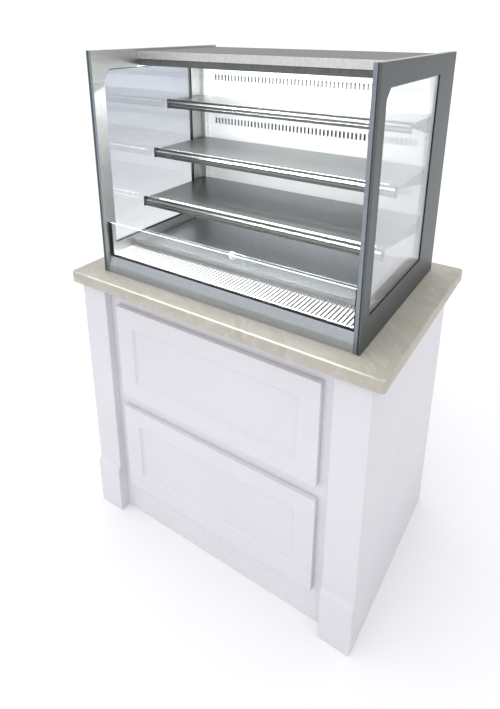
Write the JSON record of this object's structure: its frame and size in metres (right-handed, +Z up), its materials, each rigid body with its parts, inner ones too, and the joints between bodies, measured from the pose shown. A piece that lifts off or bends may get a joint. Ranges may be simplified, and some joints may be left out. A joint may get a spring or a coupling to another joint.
{
  "type": "refrigerated deli case",
  "caption": "Open-front refrigerated self-service display case with stepped shelves, dropped into a stone counter slab on a panelled cabinet that houses the cooling unit.",
  "frame": {"origin": "on the floor under the centre of the countertop's footprint", "axes": "+Z up; -Y towards the customer's open front; +X to the right of a person facing the front from the customer's side"},
  "size_m": [1.2, 0.82, 1.84],
  "materials": {
    "slab_stone": "honed",
    "white_paint": "satin white lacquer on board",
    "birch_ply": "sealed",
    "stainless": "brushed",
    "stainless_hardware": "satin",
    "galvanised": "spangled zinc",
    "clear_glass": "polished",
    "clear_acrylic": "polished",
    "black_rubber": "matte",
    "white_enamel": "gloss enamel",
    "black_plastic": "moulded",
    "chrome_shelf": "bright",
    "dark_steel": "powder coat",
    "light_lens": "diffused",
    "anodised_aluminium": "anodised",
    "black_enamel": "gloss",
    "fan_plastic": "moulded",
    "copper": "drawn copper",
    "foam": "rigid foam"
  },
  "bodies": {
    "case": {"countertop": "slab_stone", "cabinet_side_left": "white_paint", "cabinet_side_right": "white_paint", "pilaster_left": "white_paint", "pilaster_right": "white_paint", "front_board": "white_paint", "upper_front_panel": "white_paint", "lower_front_panel": "white_paint", "cabinet_back_frame": "white_paint", "cabinet_floor": "birch_ply", "end_frame_left": "stainless", "end_frame_right": "stainless", "front_apron": "stainless", "hood_panel": "stainless", "back_panel": "stainless", "well_liner": "stainless", "deck_bars": "stainless", "hinge_frame_leaves": "stainless_hardware", "back_panel_screws": "stainless_hardware", "shelf_uprights": "stainless_hardware", "well_shell": "galvanised", "evaporator_fan_deck": "galvanised", "end_glass": "clear_glass", "front_guard_glass": "clear_glass", "product_stops": "clear_acrylic", "end_glass_spacers": "black_rubber", "guard_channel": "black_rubber", "rear_duct_panel": "white_enamel", "hood_underside": "white_enamel", "air_honeycomb": "black_plastic", "shelf_end_caps": "black_plastic", "power_inlet": "black_plastic", "control_housing": "black_plastic", "shelf_lower": "chrome_shelf", "shelf_middle": "chrome_shelf", "shelf_upper": "chrome_shelf", "shelf_rails": "chrome_shelf", "shelf_brackets": "dark_steel", "canopy_valance": "dark_steel", "light_strips": "light_lens", "deck_front_rail": "anodised_aluminium", "evaporator_coil": "anodised_aluminium", "condenser_coil": "anodised_aluminium", "condensing_unit_frame": "black_enamel", "compressor": "black_enamel", "refrigerant_lines": "copper", "insulation": "foam"},
    "left_door": {"cabinet_door_left": "white_paint", "door_pull_left": "stainless_hardware", "hinge_door_leaves_left": "stainless_hardware"},
    "right_door": {"cabinet_door_right": "white_paint", "door_pull_right": "stainless_hardware", "hinge_door_leaves_right": "stainless_hardware"},
    "left_evaporator_fan": {"evaporator_fan_left": "fan_plastic"},
    "right_evaporator_fan": {"evaporator_fan_right": "fan_plastic"},
    "condenser_fan_wheel": {"condenser_fan": "fan_plastic"},
    "left_deck_pan": {"deck_pan_left": "stainless"},
    "right_deck_pan": {"deck_pan_right": "stainless"},
    "return_grille": {"return_air_grille": "stainless"},
    "rocker": {"power_rocker": "black_plastic"},
    "knob": {"temperature_knob": "black_plastic"}
  },
  "joints": [
    {"name": "left_door_hinge", "type": "hinge", "parent": "case", "child": "left_door", "pos_m": [-0.5045, 0.35, 0.5], "axis": [0, 0, 1], "range_deg": [0, 110]},
    {"name": "right_door_hinge", "type": "hinge", "parent": "case", "child": "right_door", "pos_m": [0.5045, 0.35, 0.5], "axis": [0, 0, -1], "range_deg": [0, 110]},
    {"name": "left_evaporator_fan_spin", "type": "hinge", "parent": "case", "child": "left_evaporator_fan", "pos_m": [-0.19, -0.037, 0.902], "axis": [0, 1, 0], "continuous": true},
    {"name": "right_evaporator_fan_spin", "type": "hinge", "parent": "case", "child": "right_evaporator_fan", "pos_m": [0.19, -0.037, 0.902], "axis": [0, 1, 0], "continuous": true},
    {"name": "condenser_fan_spin", "type": "hinge", "parent": "case", "child": "condenser_fan_wheel", "pos_m": [0.203, 0, 0.275], "axis": [1, 0, 0], "continuous": true},
    {"name": "left_deck_pan_lift", "type": "slide", "parent": "case", "child": "left_deck_pan", "axis": [0, 0, 1], "range_m": [0, 0.09]},
    {"name": "right_deck_pan_lift", "type": "slide", "parent": "case", "child": "right_deck_pan", "axis": [0, 0, 1], "range_m": [0, 0.09]},
    {"name": "return_grille_lift", "type": "slide", "parent": "case", "child": "return_grille", "axis": [0, 0, 1], "range_m": [0, 0.1]},
    {"name": "power_rocker_tip", "type": "hinge", "parent": "case", "child": "rocker", "pos_m": [0.37, 0.372, 1.13], "axis": [1, 0, 0], "range_deg": [0, 14]},
    {"name": "temperature_knob_turn", "type": "hinge", "parent": "case", "child": "knob", "pos_m": [0.31, 0.385, 1.13], "axis": [0, 1, 0], "range_deg": [0, 270]}
  ]
}
